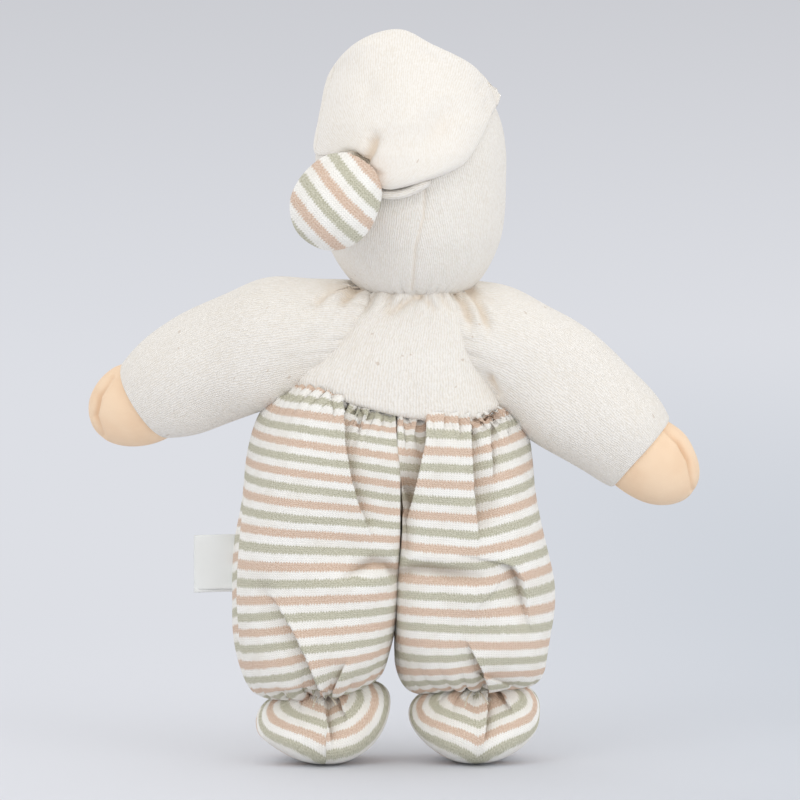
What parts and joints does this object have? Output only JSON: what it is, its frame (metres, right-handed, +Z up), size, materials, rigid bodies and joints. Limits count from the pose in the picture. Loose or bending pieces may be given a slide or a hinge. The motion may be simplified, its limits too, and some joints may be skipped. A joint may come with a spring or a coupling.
{
  "type": "soft doll",
  "caption": "Stuffed cloth doll in a hooded suit: knobbly cream bodice, striped trousers tied at the ankles and a long hood point with a bobble.",
  "frame": {"origin": "on the surface that the doll stands on, under the middle of its box", "axes": "+Z up through the doll; the face looks along -Y, so +X is the doll's own left"},
  "size_m": [0.2692, 0.1128, 0.319],
  "materials": {
    "terry": "cream cotton terry, soft and matt",
    "striped_jersey": "off-white knitted jersey with sage green and tan stripes",
    "skin_jersey": "fine knitted cotton in a pale skin colour",
    "wool": "carded sheep's wool",
    "thread": "strong cream tying thread",
    "tape": "white woven tape, blank",
    "eye_thread": "dark blue embroidery thread",
    "mouth_thread": "red embroidery thread"
  },
  "bodies": {
    "trunk": {"bodice": "terry", "trouser_seat": "striped_jersey", "trunk_stuffing": "wool"},
    "neck": {"neck_ball": "wool"},
    "head": {"hood": "terry", "head_skin": "skin_jersey", "head_stuffing": "wool", "eye_left": "eye_thread", "eye_right": "eye_thread", "mouth": "mouth_thread"},
    "hood_point": {"hood_tail": "terry"},
    "bobble": {"bobble_cover": "striped_jersey", "bobble_stuffing": "wool", "bobble_tie": "thread"},
    "arm_left": {"sleeve_left": "terry", "arm_stuffing_left": "wool"},
    "hand_left": {"hand_left": "skin_jersey", "hand_stuffing_left": "wool"},
    "leg_left": {"trouser_leg_left": "striped_jersey", "leg_stuffing_left": "wool"},
    "foot_left": {"foot_cover_left": "striped_jersey", "foot_stuffing_left": "wool", "ankle_tie_left": "thread"},
    "arm_right": {"sleeve_right": "terry", "arm_stuffing_right": "wool"},
    "hand_right": {"hand_right": "skin_jersey", "hand_stuffing_right": "wool"},
    "leg_right": {"trouser_leg_right": "striped_jersey", "leg_stuffing_right": "wool"},
    "foot_right": {"foot_cover_right": "striped_jersey", "foot_stuffing_right": "wool", "ankle_tie_right": "thread"},
    "label": {"care_label_back": "tape", "care_label_front": "tape"}
  },
  "joints": [
    {"name": "head_turn", "type": "hinge", "parent": "trunk", "child": "neck", "pos_m": [-0.005, -0.0075, 0.209], "axis": [0, 0, 1], "range_deg": [-45, 45], "stiffness_Nm_per_rad": 0.15},
    {"name": "head_nod", "type": "hinge", "parent": "neck", "child": "head", "pos_m": [-0.005, -0.0075, 0.209], "axis": [1, 0, 0], "range_deg": [-12, 15], "stiffness_Nm_per_rad": 0.2},
    {"name": "hood_point_flip", "type": "hinge", "parent": "head", "child": "hood_point", "pos_m": [-0.0005, 0.01584, 0.303], "axis": [1, 0, 0], "range_deg": [0, 150]},
    {"name": "bobble_swing", "type": "hinge", "parent": "hood_point", "child": "bobble", "pos_m": [0.0155, 0.03157, 0.2625], "axis": [0.4803, 0.8771, 0], "range_deg": [-20, 20], "stiffness_Nm_per_rad": 0.02},
    {"name": "arm_raise_left", "type": "hinge", "parent": "trunk", "child": "arm_left", "pos_m": [0.0415, -0.0075, 0.185], "axis": [-0.3907, -0.9205, 0], "range_deg": [-2, 60], "stiffness_Nm_per_rad": 0.25},
    {"name": "wrist_bend_left", "type": "hinge", "parent": "arm_left", "child": "hand_left", "pos_m": [0.10897, -0.03614, 0.15832], "axis": [-0.3907, -0.9205, 0], "range_deg": [-18, 18], "stiffness_Nm_per_rad": 0.05},
    {"name": "arm_raise_right", "type": "hinge", "parent": "trunk", "child": "arm_right", "pos_m": [-0.0435, -0.0075, 0.185], "axis": [-0.0349, 0.9994, 0], "range_deg": [0, 70], "stiffness_Nm_per_rad": 0.25},
    {"name": "wrist_bend_right", "type": "hinge", "parent": "arm_right", "child": "hand_right", "pos_m": [-0.10656, -0.0097, 0.13915], "axis": [-0.0349, 0.9994, 0], "range_deg": [-18, 18], "stiffness_Nm_per_rad": 0.05},
    {"name": "hip_swing_left", "type": "hinge", "parent": "trunk", "child": "leg_left", "pos_m": [0.035, -0.0075, 0.088], "axis": [-1, 0, 0], "range_deg": [0, 80], "stiffness_Nm_per_rad": 0.6},
    {"name": "ankle_flex_left", "type": "hinge", "parent": "leg_left", "child": "foot_left", "pos_m": [0.0315, -0.0075, 0.033], "axis": [1, 0, 0], "range_deg": [-12, 12], "stiffness_Nm_per_rad": 0.4},
    {"name": "hip_swing_right", "type": "hinge", "parent": "trunk", "child": "leg_right", "pos_m": [-0.035, -0.0075, 0.088], "axis": [-1, 0, 0], "range_deg": [0, 80], "stiffness_Nm_per_rad": 0.6},
    {"name": "ankle_flex_right", "type": "hinge", "parent": "leg_right", "child": "foot_right", "pos_m": [-0.0345, -0.0075, 0.033], "axis": [1, 0, 0], "range_deg": [-12, 12], "stiffness_Nm_per_rad": 0.4},
    {"name": "label_flap", "type": "hinge", "parent": "leg_left", "child": "label", "pos_m": [0.0703, -0.0075, 0.088], "axis": [0, 0, 1], "range_deg": [-60, 60], "stiffness_Nm_per_rad": 0.0005}
  ]
}
